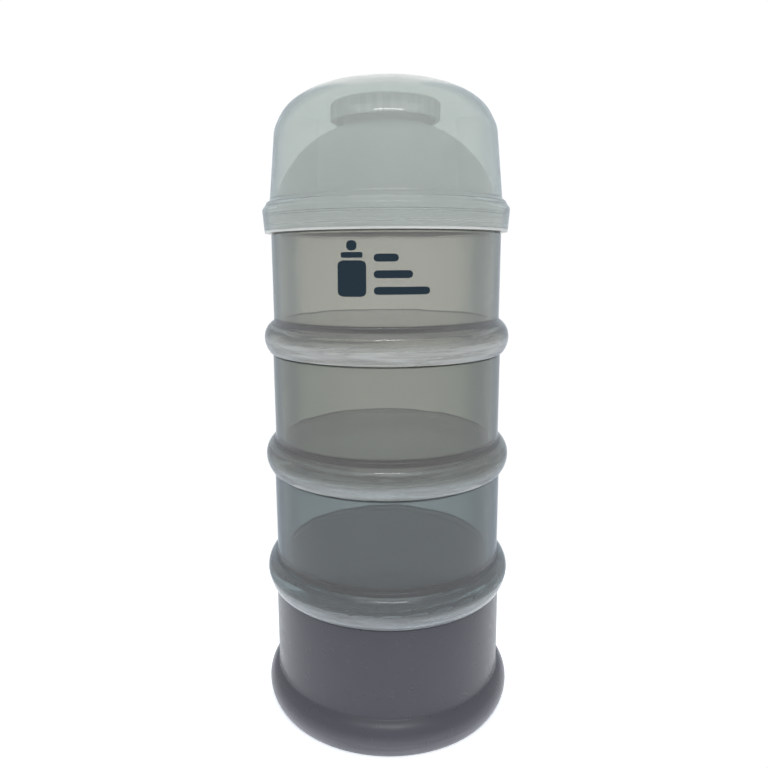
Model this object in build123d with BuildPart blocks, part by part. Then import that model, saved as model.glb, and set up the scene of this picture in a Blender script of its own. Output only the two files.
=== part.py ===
"""Stacking formula dispenser: four screw-together cups, a pouring funnel lid,
a ribbed spout cap and a dome cover, with a soft seal ring in every screw joint.

Origin at the centre of the underside of the lowest cup, +Z up, millimetres.
"""
import math
import os
from build123d import *

os.makedirs("parts", exist_ok=True)

# ---------------------------------------------------------------- the stack
cup_pitch = 38.4            # height each cup adds to the stack
cup_count = 4
lid_base = cup_count * cup_pitch

# ------------------------------------------- bulged grip ring round each cup
ring_radius = 40.0          # widest point of the object
ring_mid_height = 5.15      # height of the widest point above the cup's base
ring_top_height = 10.65     # where the bulge meets the wall
ring_lip_radius = 38.05     # outer edge of the ring's flat underside

# ---------------------------------------------------------- socket and neck
socket_radius = 37.2        # inside of the threaded skirt
socket_thread_depth = 6.8   # straight part of the socket
seal_seat_radius = 36.25    # narrower top of the socket, round the seal
seal_seat_depth = 7.75
floor_underside = 8.6
floor_top = 10.9
neck_radius = 36.0
neck_top = 7.5              # above the base of the cup it screws into
shoulder_gap = 0.3          # between a skirt's underside and the shoulder below

# -------------------------------------------------------------- cup's wall
wall_radius_low = 36.9      # outside, just above the ring
wall_radius_high = 37.35    # outside, at the shoulder
cavity_radius_low = 34.0    # inside, at the floor
cavity_radius_high = 34.4   # inside, at the rim
floor_corner = 1.6          # rounding where the floor meets the wall

# ------------------------------------------------------------ screw threads
thread_lead = 6.0           # rise in one full turn
thread_starts = 2
thread_sweep = 270.0        # degrees each ridge runs round
thread_first_height = 1.6   # centre of a ridge where it starts
thread_height = 0.9         # how far a ridge stands proud
thread_root = 1.5           # ridge width where it leaves the wall
thread_crest = 0.9          # ridge width at its top
thread_bite = 0.25          # how deep a ridge is sunk into its wall

# ---------------------------------------------------------------- seal ring
seal_outer_radius = 35.95
seal_inner_radius = 34.6

# -------------------------------------------------------------- funnel lid
# heights of the lid, cap and dome cover are above the lid's own base
skirt_radius = 38.5
skirt_shoulder_height = 6.6
skirt_top_radius = 36.3
skirt_top_height = 10.05
flange_radius = 39.35       # the dome cover stands on this flange
flange_height = 0.8
bead_radius = 38.76         # snap bead that centres the dome cover
bead_low = 3.6
bead_high = 4.8
cone_foot_radius = 35.0
cone_foot_height = 10.6
cone_centre_radius = 3.4    # centre of the rounded cone's section
cone_centre_height = 2.6
cone_radius = 33.2
cone_wall = 1.7
cone_start_angle = 18.0
spout_radius = 13.65
spout_bore = 11.9
spout_top = 41.0

# --------------------------------------------------------------- spout cap
cap_base = 35.9
cap_top = 42.4
cap_radius = 17.1
cap_skirt_inner = 15.9
cap_collar_outer = 15.05
cap_collar_inner = 13.95
cap_collar_base = 36.8
cap_plug_outer = 11.6
cap_plug_inner = 10.5
cap_plug_base = 37.6
cap_rib_count = 30
cap_rib_radius = 0.95
cap_rib_centre = 16.95
cap_rib_top = 41.6

# -------------------------------------------------------------- dome cover
band_radius_low = 39.45
band_radius_high = 40.1
band_inner_radius = 38.85
band_top = 7.4
band_inner_top = 7.24
chamfer_top = 10.8
chamfer_inner_top = 10.57
dome_radius_low = 37.6
dome_radius_high = 35.9
dome_inner_low = 36.4
dome_inner_high = 34.65
dome_wall_top = 32.8
crown_outer = [(33.0, 38.5), (26.2, 43.95), (15.0, 47.15)]
crown_inner = [(32.1, 37.7), (25.7, 42.87), (14.8, 45.97)]
crown_top = 48.4
crown_ceiling = 47.2
crown_lean = 24.0           # degrees the crown leans in where it leaves the wall


def corner(sketch, radius, height):
    """The sketch's corner nearest to a point of the section."""
    return sketch.vertices().sort_by_distance(Vector(radius, height, 0))[0]


def thread_ridge(wall_radius, direction):
    """One helical ridge; direction is +1 for a neck and -1 for a socket."""
    turns = thread_sweep / 360.0
    with BuildPart() as ridge:
        with BuildLine() as path:
            Helix(pitch=thread_lead, height=thread_lead * turns, radius=wall_radius)
        start = Plane(
            origin=path.line @ 0, x_dir=(direction, 0, 0), z_dir=path.line % 0
        )
        with BuildSketch(start) as section:
            with BuildLine():
                Polyline(
                    (-thread_bite, -thread_root / 2),
                    (0, -thread_root / 2),
                    (thread_height, -thread_crest / 2),
                    (thread_height, thread_crest / 2),
                    (0, thread_root / 2),
                    (-thread_bite, thread_root / 2),
                    close=True,
                )
            make_face()
        sweep(sections=section.sketch, path=path.line, is_frenet=True)
    return ridge.part


neck_ridge = thread_ridge(neck_radius, 1)
socket_ridge = thread_ridge(socket_radius, -1)

# --------------------------------------------------------- one cup's shape
shoulder = cup_pitch - shoulder_gap
rim = cup_pitch + neck_top
widest = (ring_radius, ring_mid_height)

with BuildPart() as cup:
    with BuildSketch(Plane.XZ) as cup_section:
        with BuildLine():
            Polyline(
                (wall_radius_low, ring_top_height),
                (wall_radius_high, shoulder),
                (neck_radius, shoulder),
                (neck_radius, rim),
                (cavity_radius_high, rim),
                (cavity_radius_low, floor_top),
                (0, floor_top),
                (0, floor_underside),
                (seal_seat_radius, floor_underside),
                (seal_seat_radius, seal_seat_depth),
                (socket_radius, socket_thread_depth),
                (socket_radius, 0),
                (ring_lip_radius, 0),
            )
            TangentArc(widest, (ring_lip_radius, 0), tangent=(0, -1))
            TangentArc(widest, (wall_radius_low, ring_top_height), tangent=(0, 1))
        make_face()
        fillet(corner(cup_section, cavity_radius_low, floor_top), floor_corner)
        fillet(corner(cup_section, wall_radius_high, shoulder), 0.5)
        fillet(corner(cup_section, neck_radius, rim), 0.4)
        fillet(corner(cup_section, cavity_radius_high, rim), 0.4)
        fillet(corner(cup_section, ring_lip_radius, 0), 0.3)
        fillet(corner(cup_section, wall_radius_low, ring_top_height), 0.5)
    revolve(axis=Axis.Z)
    with Locations((0, 0, cup_pitch + thread_first_height)):
        with PolarLocations(0, thread_starts):
            add(neck_ridge)
    with Locations((0, 0, thread_first_height)):
        with PolarLocations(0, thread_starts, start_angle=90):
            add(socket_ridge)


# ------------------------------------------------------------- funnel lid
cone_inner_radius = cone_radius - cone_wall
cone_start = math.radians(cone_start_angle)
spout_angle = math.acos((spout_radius - cone_centre_radius) / cone_radius)
bore_angle = math.acos((spout_bore - cone_centre_radius) / cone_inner_radius)


def cone_point(radius, angle):
    """A point of the rounded cone's section."""
    return (
        cone_centre_radius + radius * math.cos(angle),
        cone_centre_height + radius * math.sin(angle),
    )


cone_low = cone_point(cone_radius, cone_start)
cone_high = cone_point(cone_radius, spout_angle)
funnel_low = cone_point(cone_inner_radius, cone_start)
funnel_high = cone_point(cone_inner_radius, bore_angle)

with BuildPart() as lid:
    with BuildSketch(Plane.XZ) as lid_section:
        with BuildLine():
            Polyline(
                (socket_radius, 0),
                (flange_radius, 0),
                (flange_radius, flange_height),
                (skirt_radius, flange_height),
                (skirt_radius, skirt_shoulder_height),
                (skirt_top_radius, skirt_top_height),
                (cone_foot_radius, cone_foot_height),
                cone_low,
            )
            ThreePointArc(
                cone_low,
                cone_point(cone_radius, (cone_start + spout_angle) / 2),
                cone_high,
            )
            Polyline(
                cone_high,
                (spout_radius, spout_top),
                (spout_bore, spout_top),
                funnel_high,
            )
            ThreePointArc(
                funnel_high,
                cone_point(cone_inner_radius, (cone_start + bore_angle) / 2),
                funnel_low,
            )
            Polyline(
                funnel_low,
                (funnel_low[0], floor_underside),
                (seal_seat_radius, floor_underside),
                (seal_seat_radius, seal_seat_depth),
                (socket_radius, socket_thread_depth),
                (socket_radius, 0),
            )
        make_face()
        fillet(corner(lid_section, *cone_high), 1.0)
        fillet(corner(lid_section, *funnel_high), 1.5)
        fillet(corner(lid_section, spout_radius, spout_top), 0.5)
        fillet(corner(lid_section, spout_bore, spout_top), 0.4)
        fillet(corner(lid_section, flange_radius, 0), 0.25)
        fillet(corner(lid_section, skirt_top_radius, skirt_top_height), 0.4)
        fillet(corner(lid_section, cone_foot_radius, cone_foot_height), 0.4)
    revolve(axis=Axis.Z)
    with BuildSketch(Plane.XZ) as bead_section:
        with BuildLine():
            Line((skirt_radius, bead_low), (skirt_radius, bead_high))
            ThreePointArc(
                (skirt_radius, bead_high),
                (bead_radius, (bead_low + bead_high) / 2),
                (skirt_radius, bead_low),
            )
        make_face()
    revolve(axis=Axis.Z)
    with Locations((0, 0, thread_first_height)):
        with PolarLocations(0, thread_starts, start_angle=90):
            add(socket_ridge)

# --------------------------------------------------------------- spout cap
cap_plate_underside = spout_top

with BuildPart() as cap:
    with BuildSketch(Plane.XZ) as cap_section:
        with BuildLine():
            Polyline(
                (0, cap_top),
                (cap_radius, cap_top),
                (cap_radius, cap_base),
                (cap_skirt_inner, cap_base),
                (cap_skirt_inner, cap_plate_underside),
                (cap_collar_outer, cap_plate_underside),
                (cap_collar_outer, cap_collar_base),
                (cap_collar_inner, cap_collar_base),
                (cap_collar_inner, cap_plate_underside),
                (cap_plug_outer, cap_plate_underside),
                (cap_plug_outer, cap_plug_base),
                (cap_plug_inner, cap_plug_base),
                (cap_plug_inner, cap_plate_underside),
                (0, cap_plate_underside),
                close=True,
            )
        make_face()
        fillet(corner(cap_section, cap_radius, cap_top), 0.9)
        fillet(corner(cap_section, cap_plug_outer, cap_plug_base), 0.4)
        fillet(corner(cap_section, cap_collar_inner, cap_collar_base), 0.3)
    revolve(axis=Axis.Z)
    with BuildSketch(Plane.XY.offset(cap_base)):
        with PolarLocations(cap_rib_centre, cap_rib_count):
            Circle(cap_rib_radius)
        Circle(cap_radius - 0.5, mode=Mode.SUBTRACT)
    extrude(amount=cap_rib_top - cap_base)

# -------------------------------------------------------------- dome cover
lean = math.radians(crown_lean)
lean_in = (-math.sin(lean), math.cos(lean))

with BuildPart() as dome:
    with BuildSketch(Plane.XZ) as dome_section:
        with BuildLine():
            Polyline(
                (band_inner_radius, flange_height),
                (band_radius_low, flange_height),
                (band_radius_high, band_top),
                (dome_radius_low, chamfer_top),
                (dome_radius_high, dome_wall_top),
            )
            Spline(
                (dome_radius_high, dome_wall_top),
                *crown_outer,
                (0, crown_top),
                tangents=(lean_in, (-1, 0)),
            )
            Line((0, crown_top), (0, crown_ceiling))
            Spline(
                (0, crown_ceiling),
                *reversed(crown_inner),
                (dome_inner_high, dome_wall_top),
                tangents=((1, 0), (-lean_in[0], -lean_in[1])),
            )
            Polyline(
                (dome_inner_high, dome_wall_top),
                (dome_inner_low, chamfer_inner_top),
                (band_inner_radius, band_inner_top),
                (band_inner_radius, flange_height),
            )
        make_face()
        fillet(corner(dome_section, dome_radius_high, dome_wall_top), 3.0)
        fillet(corner(dome_section, dome_radius_low, chamfer_top), 0.6)
        fillet(corner(dome_section, band_radius_high, band_top), 0.4)
        fillet(corner(dome_section, band_radius_low, flange_height), 0.2)
    revolve(axis=Axis.Z)

# --------------------------------------------------------------- seal ring
with BuildPart() as seal:
    with BuildSketch(Plane.XY.offset(neck_top)):
        Circle(seal_outer_radius)
        Circle(seal_inner_radius, mode=Mode.SUBTRACT)
    extrude(amount=floor_underside - neck_top)

# -------------------------------------------------- every piece in its place
placed = [
    ("bottom_cup", cup, 0),
    ("lower_cup", cup, 1),
    ("upper_cup", cup, 2),
    ("top_cup", cup, 3),
    ("lower_cup_seal", seal, 1),
    ("upper_cup_seal", seal, 2),
    ("top_cup_seal", seal, 3),
    ("funnel_lid_seal", seal, 4),
    ("funnel_lid", lid, 4),
    ("spout_cap", cap, 4),
    ("dome_cover", dome, 4),
]
for node_name, shape, level in placed:
    with BuildPart() as piece:
        with Locations((0, 0, level * cup_pitch)):
            add(shape.part)
    piece.part.label = node_name
    export_step(piece.part, f"parts/{node_name}.step")
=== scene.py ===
import math

import bpy
import bmesh
import numpy as np
from mathutils import Matrix, Vector


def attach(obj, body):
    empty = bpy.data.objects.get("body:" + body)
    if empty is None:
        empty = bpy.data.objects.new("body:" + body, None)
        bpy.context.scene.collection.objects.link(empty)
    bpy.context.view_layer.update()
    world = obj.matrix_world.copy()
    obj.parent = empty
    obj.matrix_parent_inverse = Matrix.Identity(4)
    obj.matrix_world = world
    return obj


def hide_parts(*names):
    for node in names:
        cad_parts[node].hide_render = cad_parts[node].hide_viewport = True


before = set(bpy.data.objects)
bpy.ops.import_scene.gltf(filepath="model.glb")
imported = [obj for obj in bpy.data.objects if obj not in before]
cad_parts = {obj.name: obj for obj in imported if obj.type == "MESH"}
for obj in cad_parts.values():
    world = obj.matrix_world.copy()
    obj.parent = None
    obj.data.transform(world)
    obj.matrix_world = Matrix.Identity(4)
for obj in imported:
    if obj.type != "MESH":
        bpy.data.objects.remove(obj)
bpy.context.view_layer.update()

MM = 0.001

# ------------------------------------------------------------ sizes, mm
# Sections are lists of (radius, height), with each piece's own foot at height 0.
PITCH = 38.4                        # one cup above the next
LID_BASE = 4 * PITCH
NECK_RADIUS = 36.0
NECK_BOTTOM, NECK_RIM = 38.1, 45.9
SOCKET_RADIUS = 37.2
SOCKET_TOP = 6.8
SEAT_RADIUS, SEAT_FOOT, SEAT_TOP = 36.25, 7.75, 8.6     # where a seal sits, above the socket
SEAT_GAP = 0.03                     # keeps two pieces that rest on each other from sharing a face
THREAD_LEAD = 6.0
THREAD_SWEEP = math.radians(270)
THREAD_RUN_OUT = math.radians(5)
THREAD_FIRST = 1.6                  # height of the ridge's middle where it starts
THREAD_HEIGHT = 0.9
THREAD_ROOT, THREAD_CREST = 1.5, 0.9
ROW_STEP = 0.2                      # between the rows of points that carry the ridges
GUARD = 0.06                        # how far past a rounded corner the flat faces start
SAME_PLACE = 0.01                   # radii closer than this count as equal

# ------------------------------------------------------------ mesh fineness
CUP_SEGMENTS = 240
SEAL_SEGMENTS = 128
CAP_SEGMENTS = 480
SHARP_ANGLE = 35                    # edges turning more than this many degrees stay sharp


# ------------------------------------------------------------ sections
def arc(centre, radius, start, end, steps):
    """Points of an arc, angles in degrees from the +radius direction."""
    points = []
    for i in range(steps + 1):
        a = math.radians(start + (end - start) * i / steps)
        points.append((centre[0] + radius * math.cos(a), centre[1] + radius * math.sin(a)))
    return points


def soften(points, corner, reach, steps=5):
    """Rounds the corner of a section, starting and ending a reach away from it.
    A point just beyond each end keeps the long faces beside it truly flat."""
    pts = np.array(points, float)
    length = np.concatenate([[0], np.cumsum(np.hypot(*np.diff(pts, axis=0).T))])
    at = int(np.argmin(np.hypot(*(pts - np.array(corner)).T)))
    low, high = length[at] - reach, length[at] + reach

    def along(s):
        return np.array([np.interp(s, length, pts[:, 0]), np.interp(s, length, pts[:, 1])])

    a, b, c = along(low), pts[at], along(high)
    bend = [along(low - GUARD)]
    for i in range(steps + 1):
        t = i / steps
        bend.append((1 - t) ** 2 * a + 2 * t * (1 - t) * b + t * t * c)
    bend.append(along(high + GUARD))
    before = [p for p, s in zip(pts, length) if s < low - GUARD - 1e-3]
    after = [p for p, s in zip(pts, length) if s > high + GUARD + 1e-3]
    return [tuple(p) for p in before + bend + after]


def spline(points, start, end, steps):
    """A smooth curve through the points, with its end directions given."""
    pts = np.array(points, float)
    n = len(pts)
    step = np.hypot(*np.diff(pts, axis=0).T)
    matrix, right = np.zeros((n, n)), np.zeros((n, 2))
    matrix[0, 0] = matrix[-1, -1] = 1
    right[0], right[-1] = start, end
    for i in range(1, n - 1):
        a, b = step[i - 1], step[i]
        matrix[i, i - 1], matrix[i, i], matrix[i, i + 1] = b, 2 * (a + b), a
        right[i] = 3 * (b * (pts[i] - pts[i - 1]) / a + a * (pts[i + 1] - pts[i]) / b)
    slope = np.linalg.solve(matrix, right)
    curve = []
    for i in range(n - 1):
        h = step[i]
        for j in range(steps):
            t = j / steps
            curve.append(tuple(
                (2 * t**3 - 3 * t**2 + 1) * pts[i] + (t**3 - 2 * t**2 + t) * h * slope[i]
                + (-2 * t**3 + 3 * t**2) * pts[i + 1] + (t**3 - t**2) * h * slope[i + 1]
            ))
    curve.append(tuple(pts[-1]))
    return curve


def rows(start, end, step):
    """Points from start up to, but not including, end."""
    count = max(1, round(math.dist(start, end) / step))
    return [
        (start[0] + (end[0] - start[0]) * i / count, start[1] + (end[1] - start[1]) * i / count)
        for i in range(count)
    ]


def ridge(angle, height, first_angle):
    """How far the two helical ridges stand proud at an angle and height."""
    proud = 0.0
    for begin in (first_angle, first_angle + math.pi):
        turned = (angle - begin) % (2 * math.pi)
        if turned > THREAD_SWEEP:
            continue
        off = abs(height - THREAD_FIRST - THREAD_LEAD * turned / (2 * math.pi))
        flank = (THREAD_ROOT / 2 - off) / ((THREAD_ROOT - THREAD_CREST) / 2)
        run_out = min(turned, THREAD_SWEEP - turned) / THREAD_RUN_OUT
        proud = max(proud, min(max(flank, 0), 1) * min(run_out, 1))
    return THREAD_HEIGHT * proud


# ------------------------------------------------------------ mesh making
def finish_mesh(name, mesh):
    """Turns a mesh into an object in the scene, smooth but for its sharp edges."""
    for polygon in mesh.polygons:
        polygon.use_smooth = True
    mesh.set_sharp_from_angle(angle=math.radians(SHARP_ANGLE))
    piece = bpy.data.objects.new(name, mesh)
    bpy.context.scene.collection.objects.link(piece)
    return piece


def lathe(name, section, base, segments, shape=None):
    """Revolves a section round Z. A section that starts and ends on the axis
    closes there; any other closes on itself. shape(radius, angle, height) may
    move a point in or out."""
    on_axis = section[0][0] == 0
    body = section[1:-1] if on_axis else section
    vertices = []
    for radius, height in body:
        for j in range(segments):
            angle = 2 * math.pi * j / segments
            r = shape(radius, angle, height) if shape else radius
            vertices.append((
                r * math.cos(angle) * MM, r * math.sin(angle) * MM, (height + base) * MM
            ))
    count = len(body)
    faces = []
    for i in range(count - 1 if on_axis else count):
        k = (i + 1) % count
        for j in range(segments):
            m = (j + 1) % segments
            faces.append((i * segments + j, i * segments + m, k * segments + m, k * segments + j))
    if on_axis:
        for end, row in ((section[0], 0), (section[-1], count - 1)):
            pole = len(vertices)
            vertices.append((0, 0, (end[1] + base) * MM))
            for j in range(segments):
                faces.append((row * segments + j, row * segments + (j + 1) % segments, pole))
    mesh = bpy.data.meshes.new(name)
    mesh.from_pydata(vertices, [], faces)
    work = bmesh.new()
    work.from_mesh(mesh)
    bmesh.ops.recalc_face_normals(work, faces=work.faces)
    work.to_mesh(mesh)
    work.free()
    return finish_mesh(name, mesh)


def dressed(piece, material, body, node):
    """Gives a piece its material and the body that it rides on, and hides the CAD node that it
    replaces, where one is given.
    """
    piece.data.materials.append(material)
    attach(piece, body)
    if node:
        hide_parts(node)


# ------------------------------------------------------------ materials
GLOW_REACH = 0.004                  # how far light spreads inside milky plastic, metres
RELIEF_DEPTH = 0.002                # metres
ROUGH_SPREAD = 0.25                 # how much roughness varies either way, of its mean
DEPTH_MARGIN = 1.25                 # keeps every absorption colour above black
PAINTED_BAND_INNER, PAINTED_BAND_OUTER = 37.5, 38.0     # only faces further out than this get the painted band, mm
PAINTED_BAND_LEAST = 0.45                  # share of the painted band left between the streaks
STREAK_NONE, STREAK_FULL = 0.35, 0.65     # noise values where a streak starts and is full
STREAK_SQUEEZE = (1, 1, 14)         # streaks lie along the ring


def new_material(name):
    material = bpy.data.materials.new(name)
    material.use_nodes = True
    material.node_tree.nodes.clear()
    return material, material.node_tree


def add(tree, kind, inputs=None, **properties):
    """A new node with its properties, and then its plain input values, set."""
    node = tree.nodes.new(kind)
    for name, value in properties.items():
        setattr(node, name, value)
    for socket, value in (inputs or {}).items():
        node.inputs[socket].default_value = value
    return node


def painted_band_mask(tree, place, full_below, none_above):
    """How much of the painted band of light or shade a point gets, 0 to 1: full on the low, outer
    faces, and streaky.
    """
    links = tree.links
    parts = add(tree, "ShaderNodeSeparateXYZ")
    flat = add(tree, "ShaderNodeCombineXYZ")
    from_axis = add(tree, "ShaderNodeVectorMath", operation="LENGTH")
    outer = add(tree, "ShaderNodeMapRange",
                {"From Min": PAINTED_BAND_INNER * MM, "From Max": PAINTED_BAND_OUTER * MM})
    under = add(tree, "ShaderNodeMapRange",
                {"From Min": none_above * MM, "From Max": full_below * MM},
                interpolation_type="SMOOTHSTEP")
    both = add(tree, "ShaderNodeMath", operation="MULTIPLY")
    squeeze = add(tree, "ShaderNodeMapping", {"Scale": STREAK_SQUEEZE})
    streaks = add(tree, "ShaderNodeTexNoise", {"Scale": 55, "Detail": 3})
    streaky = add(tree, "ShaderNodeMapRange",
                  {"From Min": STREAK_NONE, "From Max": STREAK_FULL, "To Min": PAINTED_BAND_LEAST})
    mask = add(tree, "ShaderNodeMath", operation="MULTIPLY")
    links.new(place.outputs["Object"], parts.inputs["Vector"])
    links.new(parts.outputs["X"], flat.inputs["X"])
    links.new(parts.outputs["Y"], flat.inputs["Y"])
    links.new(parts.outputs["Z"], under.inputs["Value"])
    links.new(flat.outputs["Vector"], from_axis.inputs[0])
    links.new(from_axis.outputs["Value"], outer.inputs["Value"])
    links.new(outer.outputs["Result"], both.inputs[0])
    links.new(under.outputs["Result"], both.inputs[1])
    links.new(place.outputs["Object"], squeeze.inputs["Vector"])
    links.new(squeeze.outputs["Vector"], streaks.inputs["Vector"])
    links.new(streaks.outputs["Fac"], streaky.inputs["Value"])
    links.new(streaky.outputs["Result"], mask.inputs[0])
    links.new(both.outputs["Value"], mask.inputs[1])
    return mask.outputs["Value"]


def plastic(name, low, high, clearness, rough, loss, ior=1.49, milk=0.0, painted_band=None):
    """Translucent moulded plastic: a tinted clear body with some milkiness,
    faint flow clouds in its colour, and the fine unevenness of a moulding.
    loss is how fast red, green and blue fade inside it, per metre, and milk is
    how much of its cloudy part lets light glow through the wall. painted_band,
    where given, is a colour painted on the low, outer faces: the heights in mm
    below which it is full and above which it is gone, how much cloudier the
    plastic is there, and the painted colour, which is painted light from below on
    the grip rings and base and painted shade on the lid's flange."""
    material, tree = new_material(name)
    links = tree.links
    out = add(tree, "ShaderNodeOutputMaterial")
    shader = add(tree, "ShaderNodeBsdfPrincipled", {
        "Transmission Weight": clearness,
        "IOR": ior,
        "Subsurface Weight": milk,
        "Subsurface Radius": (1, 1, 1),
        "Subsurface Scale": GLOW_REACH,
    })
    place = add(tree, "ShaderNodeTexCoord")
    clouds = add(tree, "ShaderNodeTexNoise", {"Scale": 45, "Detail": 3})
    colour = add(tree, "ShaderNodeMix", {"A": (*low, 1), "B": (*high, 1)}, data_type="RGBA")
    grain = add(tree, "ShaderNodeTexNoise", {"Scale": 420, "Detail": 2})
    polish = add(tree, "ShaderNodeMapRange",
                 {"To Min": rough * (1 - ROUGH_SPREAD), "To Max": rough * (1 + ROUGH_SPREAD)})
    waves = add(tree, "ShaderNodeTexNoise", {"Scale": 90, "Detail": 1})
    relief = add(tree, "ShaderNodeBump", {"Strength": 0.06, "Distance": RELIEF_DEPTH})
    for texture in (clouds, grain, waves):
        links.new(place.outputs["Object"], texture.inputs["Vector"])
    links.new(clouds.outputs["Fac"], colour.inputs["Factor"])
    links.new(grain.outputs["Fac"], polish.inputs["Value"])
    links.new(polish.outputs["Result"], shader.inputs["Roughness"])
    links.new(waves.outputs["Fac"], relief.inputs["Height"])
    links.new(relief.outputs["Normal"], shader.inputs["Normal"])
    links.new(shader.outputs["BSDF"], out.inputs["Surface"])

    # Painted band: painted light on the grip rings and base, painted shade on the lid's flange.
    if painted_band:
        full_below, none_above, cloudiness, painted_colour = painted_band
        mask = painted_band_mask(tree, place, full_below, none_above)
        # mix in the painted colour of light or shade where the band mask is on
        tinted = add(tree, "ShaderNodeMix", {"B": (*painted_colour, 1)}, data_type="RGBA")
        links.new(mask, tinted.inputs["Factor"])
        links.new(colour.outputs["Result"], tinted.inputs["A"])
        links.new(tinted.outputs["Result"], shader.inputs["Base Color"])
        if cloudiness:
            cloudy = add(tree, "ShaderNodeMapRange",
                         {"To Min": clearness, "To Max": clearness - cloudiness})
            links.new(mask, cloudy.inputs["Value"])
            links.new(cloudy.outputs["Result"], shader.inputs["Transmission Weight"])
    else:
        links.new(colour.outputs["Result"], shader.inputs["Base Color"])

    density = DEPTH_MARGIN * max(loss)
    body = add(tree, "ShaderNodeVolumeAbsorption", {
        "Color": (*(1 - part / density for part in loss), 1),
        "Density": density,
    })
    links.new(body.outputs["Volume"], out.inputs["Volume"])
    return material


def printing_ink(name, low, high):
    """Matt ink, very slightly uneven in colour."""
    material, tree = new_material(name)
    out = add(tree, "ShaderNodeOutputMaterial")
    shader = add(tree, "ShaderNodeBsdfPrincipled",
                 {"Roughness": 0.45, "Specular IOR Level": 0.15})
    noise = add(tree, "ShaderNodeTexNoise", {"Scale": 900})
    colour = add(tree, "ShaderNodeMix", {"A": (*low, 1), "B": (*high, 1)}, data_type="RGBA")
    tree.links.new(noise.outputs["Fac"], colour.inputs["Factor"])
    tree.links.new(colour.outputs["Result"], shader.inputs["Base Color"])
    tree.links.new(shader.outputs["BSDF"], out.inputs["Surface"])
    return material


# ------------------------------------------------------------ the cups
FLOOR_TOP = 10.9                    # a cup's floor is from SEAT_TOP up to this
BORE_FOOT, BORE_RIM = 34.0, 34.4    # the cavity's radius at the floor and at the rim
WALL_FOOT, WALL_TOP = (36.9, 10.65), (37.35, NECK_BOTTOM)     # the wall's outside
RING_LEVEL = 5.15                   # height of the grip ring's widest place
RING_UPPER_CENTRE, RING_UPPER_RADIUS = 33.57, 6.43
RING_LOWER_CENTRE, RING_LOWER_RADIUS = 32.225, 7.775
RING_START_ANGLE = 58.8             # where the ring's upper arc leaves the wall
RING_FOOT_ANGLE = -math.degrees(math.asin(RING_LEVEL / RING_LOWER_RADIUS))
CENTRE_ROW = 20                     # radius of one extra row of points on flat floors
BELOW_RIM = (NECK_RADIUS, 44)       # stands in for the neck while the rim is rounded


def cup_outline():
    """Cavity, neck, wall, grip ring, socket and underside of a cup, as one section."""
    inside = [(0, FLOOR_TOP), (CENTRE_ROW, FLOOR_TOP), (BORE_FOOT, FLOOR_TOP)]
    inside += [(BORE_RIM, NECK_RIM), (NECK_RADIUS, NECK_RIM)]
    inside = soften(inside, (BORE_FOOT, FLOOR_TOP), 0.4, 6)
    inside = soften(inside, (BORE_RIM, NECK_RIM), 0.4)
    inside = soften(inside + [BELOW_RIM], (NECK_RADIUS, NECK_RIM), 0.4)[:-1]
    neck = rows((NECK_RADIUS, NECK_RIM - 0.5), (NECK_RADIUS, NECK_BOTTOM), ROW_STEP)
    outside = soften([(NECK_RADIUS, NECK_BOTTOM), WALL_TOP, WALL_FOOT], WALL_TOP, 0.5)
    outside += arc((RING_UPPER_CENTRE, RING_LEVEL), RING_UPPER_RADIUS, RING_START_ANGLE, 0, 14)[1:]
    outside += arc((RING_LOWER_CENTRE, RING_LEVEL), RING_LOWER_RADIUS, 0, RING_FOOT_ANGLE, 12)[1:]
    outside = soften(outside, WALL_FOOT, 0.5)
    outside = soften(outside + [(SOCKET_RADIUS, 0)], outside[-1], 0.3)[:-1]
    socket = rows((SOCKET_RADIUS, 0), (SOCKET_RADIUS, SOCKET_TOP), ROW_STEP)
    under = [(SOCKET_RADIUS, SOCKET_TOP), (SEAT_RADIUS, SEAT_FOOT), (SEAT_RADIUS, SEAT_TOP)]
    under += [(CENTRE_ROW, SEAT_TOP), (0, SEAT_TOP)]
    return inside + neck + outside + socket + under


def threaded(radius, angle, height):
    """The neck's ridges stand outwards and the socket's inwards."""
    if abs(radius - NECK_RADIUS) < SAME_PLACE and height > NECK_BOTTOM + 0.1:
        return radius + ridge(angle, height - PITCH, 0)
    if abs(radius - SOCKET_RADIUS) < SAME_PLACE and 0.1 < height < SOCKET_TOP - 0.1:
        return radius - ridge(angle, height, math.pi / 2)
    return radius


# Each cup's painted band is painted light from below: a paler, cooler colour on the lower, outer
# faces of its grip ring, which on the bottom cup is the base ring. On all but the bottom cup the
# plastic is also made cloudier there.
charcoal = plastic("charcoal_pp", (0.083, 0.081, 0.103), (0.103, 0.101, 0.123), 0.5, 0.3,
                   (640, 610, 550), painted_band=(3.0, 7.5, 0, (0.20, 0.19, 0.225)))
slate = plastic("slate_pp", (0.84, 0.84, 0.84), (0.90, 0.90, 0.90), 0.92, 0.035,
                (292, 244, 238), painted_band=(PITCH + 3.0, PITCH + 6.2, 0.21, (0.84, 0.89, 0.92)))
smoke = plastic("smoke_pp", (0.91, 0.85, 0.82), (0.97, 0.91, 0.88), 0.91, 0.035,
                (252, 214, 236),
                painted_band=(2 * PITCH + 3.0, 2 * PITCH + 6.2, 0.21, (0.84, 0.88, 0.90)))
taupe = plastic("taupe_pp", (0.90, 0.86, 0.83), (0.96, 0.92, 0.89), 0.90, 0.035,
                (176, 157, 176),
                painted_band=(3 * PITCH + 3.4, 3 * PITCH + 7.4, 0.29, (0.92, 0.92, 0.90)))

cups = [
    ("bottom_cup", charcoal, "charcoal_plastic"),
    ("lower_cup", slate, "slate_plastic"),
    ("upper_cup", smoke, "smoke_plastic"),
    ("top_cup", taupe, "taupe_plastic"),
]
for level, (node, material, slot) in enumerate(cups):
    cup = lathe(node + "_shell", cup_outline(), level * PITCH, CUP_SEGMENTS, threaded)
    dressed(cup, material, node, node)

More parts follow.
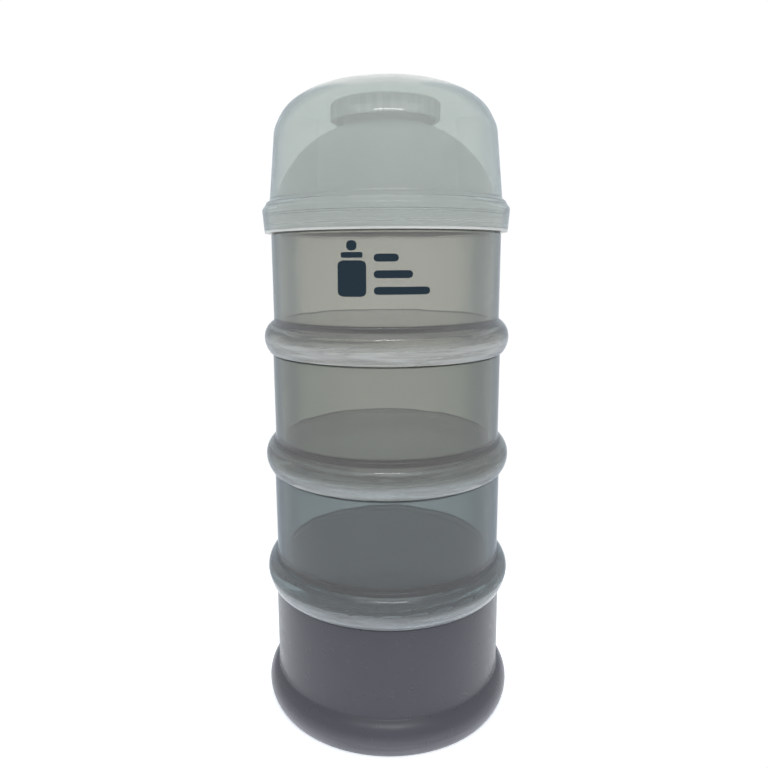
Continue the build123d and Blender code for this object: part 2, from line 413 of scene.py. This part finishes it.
# ------------------------------------------------------------ seal rings
SEAL_INNER, SEAL_OUTER = 34.6, 35.95
SEAL_FOOT, SEAL_TOP = 7.5 + SEAT_GAP, SEAT_TOP - SEAT_GAP
SEAL_STEP = 0.3

seal_corners = [
    (SEAL_INNER, SEAL_FOOT), (SEAL_OUTER, SEAL_FOOT), (SEAL_OUTER, SEAL_TOP), (SEAL_INNER, SEAL_TOP)
]
seal_outline = []
for corner, following in zip(seal_corners, seal_corners[1:] + seal_corners[:1]):
    seal_outline += rows(corner, following, SEAL_STEP)
silicone = plastic("silicone", (0.60, 0.62, 0.60), (0.66, 0.68, 0.66), 0.5, 0.4,
                   (200, 190, 200), ior=1.41)
for level, node in enumerate(("lower_cup", "upper_cup", "top_cup", "funnel_lid"), 1):
    seal = lathe(node + "_seal_ring", seal_outline, level * PITCH, SEAL_SEGMENTS)
    dressed(seal, silicone, node + "_seal", node + "_seal")

# ------------------------------------------------------------ funnel lid
FLANGE_RADIUS, FLANGE_TOP = 39.35, 0.8 - SEAT_GAP
LID_RADIUS = 38.5
LID_SHOULDER = [(LID_RADIUS, 6.6), (36.3, 10.05), (35.0, 10.6)]
BEAD_FOOT, BEAD_LEVEL, BEAD_TOP = 3.6, 4.2, 4.8
BEAD_INSET, BEAD_RADIUS, BEAD_ANGLE = 0.5523, 0.8122, 47.6
CONE_CENTRE = (3.4, 2.6)
CONE_OUTER, CONE_INNER = 33.2, 31.5
CONE_START_ANGLE = 18
SPOUT_OUTER, SPOUT_INNER, SPOUT_TOP = 13.65, 11.9, 41.0 - SEAT_GAP


def lid_outline():
    """Flange, bead, shoulder, rounded cone, spout and socket of the lid, as one section."""
    spout_turn = math.degrees(math.acos((SPOUT_OUTER - CONE_CENTRE[0]) / CONE_OUTER))
    bore_turn = math.degrees(math.acos((SPOUT_INNER - CONE_CENTRE[0]) / CONE_INNER))
    outer = [(FLANGE_RADIUS, 0), (FLANGE_RADIUS, FLANGE_TOP), (LID_RADIUS, FLANGE_TOP)]
    outer += [(LID_RADIUS, BEAD_FOOT)]
    outer += arc((LID_RADIUS - BEAD_INSET, BEAD_LEVEL), BEAD_RADIUS, -BEAD_ANGLE, BEAD_ANGLE, 6)[1:-1]
    outer += [(LID_RADIUS, BEAD_TOP)] + LID_SHOULDER
    outer = soften(outer, LID_SHOULDER[0], 0.4)
    outer = soften(outer, LID_SHOULDER[1], 0.4)
    outer += arc(CONE_CENTRE, CONE_OUTER, CONE_START_ANGLE, spout_turn, 30)
    cone_root = outer[-1]
    outer += [(SPOUT_OUTER, SPOUT_TOP), (SPOUT_INNER, SPOUT_TOP)]
    outer = soften(outer, cone_root, 1.2)
    outer = soften(outer, (SPOUT_OUTER, SPOUT_TOP), 0.5)
    inner = arc(CONE_CENTRE, CONE_INNER, bore_turn, CONE_START_ANGLE, 30)
    section = soften(outer + inner, (SPOUT_INNER, SPOUT_TOP), 0.4)
    section = soften(section, inner[0], 1.5)
    section += [(inner[-1][0], SEAT_TOP), (SEAT_RADIUS, SEAT_TOP), (SEAT_RADIUS, SEAT_FOOT)]
    section += [(SOCKET_RADIUS, SOCKET_TOP)]
    section += rows((SOCKET_RADIUS, SOCKET_TOP - ROW_STEP), (SOCKET_RADIUS, 0), ROW_STEP)
    return section + [(SOCKET_RADIUS, 0)]


# The lid's painted band is painted shade: a darker grey on the flange that dims the bright, lamp-lit
# line along its edge.
frosted = plastic("frosted_pp", (0.85, 0.83, 0.77), (0.90, 0.88, 0.82), 0.1, 0.35,
                  (40, 36, 46), milk=0.8,
                  painted_band=(LID_BASE + 0.8, LID_BASE + 2.0, 0, (0.60, 0.60, 0.56)))
lid = lathe("funnel_lid_shell", lid_outline(), LID_BASE, CUP_SEGMENTS, threaded)
dressed(lid, frosted, "funnel_lid", "funnel_lid")

# ------------------------------------------------------------ spout cap
CAP_RIBS, RIB_CENTRE, RIB_RADIUS, RIB_TOP = 30, 16.95, 0.95, 41.6
CAP_RADIUS, CAP_BASE, CAP_TOP = 17.1, 35.9, 42.4
CAP_CEILING = 41.0
TOP_ROW, CEILING_ROW = 8, 5         # radii of one extra row of points on each
SKIRT_INNER = 15.9
COLLAR_OUTER, COLLAR_INNER, COLLAR_FOOT = 15.05, 13.95, 36.8     # grips the spout's outside
PLUG_OUTER, PLUG_INNER, PLUG_FOOT = 11.6, 10.5, 37.6             # goes inside the spout


def cap_outline():
    """Top, ribbed side, skirt, collar and plug ring of the cap, as one section."""
    top = [(0, CAP_TOP), (TOP_ROW, CAP_TOP), (CAP_RADIUS, CAP_TOP), (CAP_RADIUS, RIB_TOP)]
    section = soften(top, (CAP_RADIUS, CAP_TOP), 0.75)
    section += rows((CAP_RADIUS, RIB_TOP - 0.1), (CAP_RADIUS, CAP_BASE), 0.5)
    section += [(CAP_RADIUS, CAP_BASE), (SKIRT_INNER, CAP_BASE), (SKIRT_INNER, CAP_CEILING)]
    rings = ((COLLAR_OUTER, COLLAR_INNER, COLLAR_FOOT), (PLUG_OUTER, PLUG_INNER, PLUG_FOOT))
    for outer, inner, foot in rings:
        section += [(outer, CAP_CEILING), (outer, foot), (inner, foot), (inner, CAP_CEILING)]
    return section + [(CEILING_ROW, CAP_CEILING), (0, CAP_CEILING)]


def ribbed(radius, angle, height):
    """Half-round grip ribs down the cap's side."""
    if abs(radius - CAP_RADIUS) > SAME_PLACE or height > RIB_TOP - 0.05:
        return radius
    gap = 2 * math.pi / CAP_RIBS
    off = abs((angle + gap / 2) % gap - gap / 2)
    aside = RIB_CENTRE * math.sin(off)
    if aside >= RIB_RADIUS:
        return radius
    return max(radius, RIB_CENTRE * math.cos(off) + math.sqrt(RIB_RADIUS**2 - aside**2))


cap_plastic = plastic("cap_pp", (0.82, 0.81, 0.76), (0.88, 0.87, 0.82), 0.1, 0.5,
                      (50, 44, 50), milk=0.8)
cap = lathe("spout_cap_shell", cap_outline(), LID_BASE, CAP_SEGMENTS, ribbed)
dressed(cap, cap_plastic, "spout_cap", "spout_cap")

# ------------------------------------------------------------ dome cover
DOME_LEAN = math.radians(24)        # how far the wall leans in where the crown starts
CROWN = [(35.9, 32.8), (33.0, 38.5), (26.2, 43.95), (15.0, 47.15), (0, 48.4)]
CEILING = [(34.65, 32.8), (32.1, 37.7), (25.7, 42.87), (14.8, 45.97), (0, 47.2)]
CROWN_STEPS = 14
SHOULDER_TOP, BAND_TOP = (37.6, 10.8), (40.1, 7.4)
BAND_FOOT_OUTER, BAND_FOOT_INNER = (39.45, 0.8), (38.85, 0.8)
BAND_TOP_INNER, SHOULDER_TOP_INNER = (38.85, 7.24), (36.4, 10.57)
SHOULDER_BEAD = [(38.31, 9.83), (38.65, 9.71), (38.89, 9.39), (38.9, 9.03)]
LOW_GROOVE = [(38.85, 2.1), (39.05, 2.3), (39.05, 2.6), (38.85, 2.8)]
HIGH_GROOVE = [(38.85, 5.0), (39.1, 5.25), (39.1, 5.6), (38.85, 5.85)]


def dome_outline():
    """Crown, wall, beaded shoulder and grooved band of the cover, as one section."""
    lean_in = (-math.sin(DOME_LEAN), math.cos(DOME_LEAN))
    crown = spline(CROWN, lean_in, (-1, 0), CROWN_STEPS)
    ceiling = spline(CEILING, lean_in, (-1, 0), CROWN_STEPS)
    section = crown[::-1] + [SHOULDER_TOP] + SHOULDER_BEAD
    section += [BAND_TOP, BAND_FOOT_OUTER, BAND_FOOT_INNER]
    section = soften(section, CROWN[0], 1.6, 8)
    section = soften(section, SHOULDER_TOP, 0.5)
    section = soften(section, BAND_TOP, 0.4)
    section = soften(section, BAND_FOOT_OUTER, 0.2)
    section += LOW_GROOVE + HIGH_GROOVE + [BAND_TOP_INNER, SHOULDER_TOP_INNER] + ceiling
    section = soften(section, CEILING[0], 1.6, 8)
    section = soften(section, SHOULDER_TOP_INNER, 0.5)
    return soften(section, BAND_TOP_INNER, 0.4)


clear = plastic("clear_pp", (0.80, 0.83, 0.80), (0.86, 0.89, 0.86), 0.79, 0.04,
                (110, 90, 98))
dome = lathe("dome_cover_shell", dome_outline(), LID_BASE, CUP_SEGMENTS)
dressed(dome, clear, "dome_cover", "dome_cover")

# ------------------------------------------------------------ printed mark
INK_PROUD = 0.04


def wall_radius(height):
    """Radius of the ink on the cup's slightly tapered wall."""
    share = (height - WALL_FOOT[1]) / (WALL_TOP[1] - WALL_FOOT[1])
    return WALL_FOOT[0] + (WALL_TOP[0] - WALL_FOOT[0]) * share + INK_PROUD


def printed(name, middle, half_width, low, high, row_count, columns=10):
    """A flat shape wrapped on the top cup: half_width(t) for t from 0 to 1."""
    vertices, faces = [], []
    for i in range(row_count + 1):
        t = i / row_count
        height = low + (high - low) * t
        half = half_width(t)
        for j in range(columns + 1):
            along = middle + half * (2 * j / columns - 1)
            radius = wall_radius(height)
            angle = along / radius - math.pi / 2
            vertices.append((
                radius * math.cos(angle) * MM, radius * math.sin(angle) * MM,
                (height + 3 * PITCH) * MM
            ))
    for i in range(row_count):
        for j in range(columns):
            a = i * (columns + 1) + j
            faces.append((a, a + 1, a + columns + 2, a + columns + 1))
    mesh = bpy.data.meshes.new(name)
    mesh.from_pydata(vertices, [], faces)
    return finish_mesh(name, mesh)


def pill(half, corner, height):
    """Half width of a bar with round ends."""
    def width(t):
        edge = min(t, 1 - t) * height
        if edge >= corner:
            return half
        return half - corner + math.sqrt(max(corner**2 - (corner - edge) ** 2, 0))
    return width


ink = printing_ink("navy_ink", (0.008, 0.018, 0.028), (0.012, 0.026, 0.038))
MARK_LOW = 19.6
BOTTLE_MIDDLE = -10.5
mark = [
    printed("mark_bottle", BOTTLE_MIDDLE, pill(4.2, 1.5, 10.2), MARK_LOW, MARK_LOW + 10.2, 24),
    printed("mark_collar", BOTTLE_MIDDLE, pill(3.2, 0.5, 1.6), MARK_LOW + 10.9, MARK_LOW + 12.5, 12),
    printed("mark_teat", BOTTLE_MIDDLE, pill(1.5, 1.3, 3.0), MARK_LOW + 12.9, MARK_LOW + 15.8, 16),
    printed("mark_bar_low", 3.8, pill(8.0, 1.1, 2.2), MARK_LOW + 0.6, MARK_LOW + 2.8, 14, 24),
    printed("mark_bar_mid", 1.3, pill(5.5, 1.1, 2.2), MARK_LOW + 5.2, MARK_LOW + 7.4, 14, 24),
    printed("mark_bar_high", -0.7, pill(3.5, 1.1, 2.2), MARK_LOW + 9.8, MARK_LOW + 12.0, 14, 24),
]
for piece in mark:
    dressed(piece, ink, "top_cup", None)

# ------------------------------------------------------------ floor
FLOOR_RADIUS = 0.1                  # a small round white table top, metres


def make_floor():
    """The table top, which gives off a little light of its own."""
    mesh = bpy.data.meshes.new("floor")
    build = bmesh.new()
    bmesh.ops.create_circle(build, cap_ends=True, radius=FLOOR_RADIUS, segments=96)
    build.to_mesh(mesh)
    build.free()
    floor = bpy.data.objects.new("floor", mesh)
    bpy.context.scene.collection.objects.link(floor)
    material, tree = new_material("floor_white")
    out = add(tree, "ShaderNodeOutputMaterial")
    shader = add(tree, "ShaderNodeBsdfPrincipled", {
        "Base Color": (0.94, 0.94, 0.94, 1),
        "Roughness": 0.8,
        "Emission Color": (0.9, 0.94, 1, 1),
        "Emission Strength": 0.5,
    })
    tree.links.new(shader.outputs["BSDF"], out.inputs["Surface"])
    mesh.materials.append(material)
    return floor


make_floor()

# ------------------------------------------------------------ light
SHEET_LIGHT = (1.15, 1.15, 1.15, 1)       # white sheet straight behind
SHADE_LIGHT = (0.58, 0.64, 0.71, 1)       # darker flanks on either side of it
ROOM_LIGHT = (0.93, 0.97, 1.01, 1)        # cooler light from every other side
PAGE_WHITE = (1.02, 1.02, 1.02, 1)        # what the camera sees round the object
# Where each of them begins or ends, as the sideways part of a direction of length 1
SHEET_EDGE, SHADE_START, SHADE_END, ROOM_START = 0.17, 0.30, 0.60, 0.85
BEHIND_START, BEHIND_FULL = 0.2, 0.5      # the room's light gives way to the sheet's over this
LAMP_AIM = Vector((0, 0, 0.1))            # metres


def make_world():
    """A sheet behind, shade beside it and the room around, and for the camera a white page."""
    world = bpy.data.worlds.new("studio")
    bpy.context.scene.world = world
    world.use_nodes = True
    tree = world.node_tree
    links = tree.links
    sky = tree.nodes["Background"]
    look = add(tree, "ShaderNodeTexCoord")
    split = add(tree, "ShaderNodeSeparateXYZ")
    sideways = add(tree, "ShaderNodeMath", operation="ABSOLUTE")
    flank = add(tree, "ShaderNodeValToRGB")
    ramp = flank.color_ramp
    ramp.interpolation = "EASE"
    ramp.elements[0].position = SHEET_EDGE
    ramp.elements[0].color = SHEET_LIGHT
    ramp.elements[1].position = ROOM_START
    ramp.elements[1].color = ROOM_LIGHT
    for position in (SHADE_START, SHADE_END):
        ramp.elements.new(position).color = SHADE_LIGHT
    behind = add(tree, "ShaderNodeMapRange",
                 {"From Min": BEHIND_START, "From Max": BEHIND_FULL},
                 interpolation_type="SMOOTHSTEP")
    room = add(tree, "ShaderNodeMix", {"A": ROOM_LIGHT}, data_type="RGBA")
    ray = add(tree, "ShaderNodeLightPath")
    page = add(tree, "ShaderNodeMix", {"B": PAGE_WHITE}, data_type="RGBA")
    links.new(look.outputs["Generated"], split.inputs["Vector"])
    links.new(split.outputs["X"], sideways.inputs[0])
    links.new(sideways.outputs["Value"], flank.inputs["Fac"])
    links.new(split.outputs["Y"], behind.inputs["Value"])
    links.new(behind.outputs["Result"], room.inputs["Factor"])
    links.new(flank.outputs["Color"], room.inputs["B"])
    links.new(ray.outputs["Is Camera Ray"], page.inputs["Factor"])
    links.new(room.outputs["Result"], page.inputs["A"])
    links.new(page.outputs["Result"], sky.inputs["Color"])


def soft_box(name, place, size, power):
    """A rectangular lamp aimed at the middle of the object."""
    light = bpy.data.lights.new(name, "AREA")
    light.shape = "RECTANGLE"
    light.size, light.size_y = size
    light.energy = power
    lamp = bpy.data.objects.new(name, light)
    lamp.location = place
    toward = LAMP_AIM - Vector(place)
    lamp.rotation_euler = toward.to_track_quat("-Z", "Y").to_euler()
    bpy.context.scene.collection.objects.link(lamp)


make_world()
soft_box("front_box", (0, -0.60, 0.75), (0.9, 0.5), 1.2)
soft_box("front_tube", (0.02, -0.60, 0.62), (0.34, 0.04), 0.45)

# ------------------------------------------------------------ camera
CAMERA_PLACE = (-0.00497, -0.22715, 0.14573)     # metres
LOOK_DOWN, ROLL = 4.89, -0.34                    # degrees

camera = bpy.data.cameras.new("camera")
camera.lens = 32.13
camera.sensor_width = 36
camera.shift_x = 0.0168
camera.shift_y = -0.0883
camera.clip_start = 0.01
eye = bpy.data.objects.new("camera", camera)
eye.location = CAMERA_PLACE
eye.rotation_mode = "XYZ"
tilted = Matrix.Rotation(math.radians(90 - LOOK_DOWN), 3, "X")
rolled = Matrix.Rotation(math.radians(ROLL), 3, "Z")
eye.rotation_euler = (tilted @ rolled).to_euler()
bpy.context.scene.collection.objects.link(eye)
bpy.context.scene.camera = eye

scene = bpy.context.scene
scene.view_settings.view_transform = "Standard"
scene.cycles.max_bounces = 32
scene.cycles.transmission_bounces = 32
scene.cycles.transparent_max_bounces = 16
scene.cycles.sample_clamp_indirect = 3
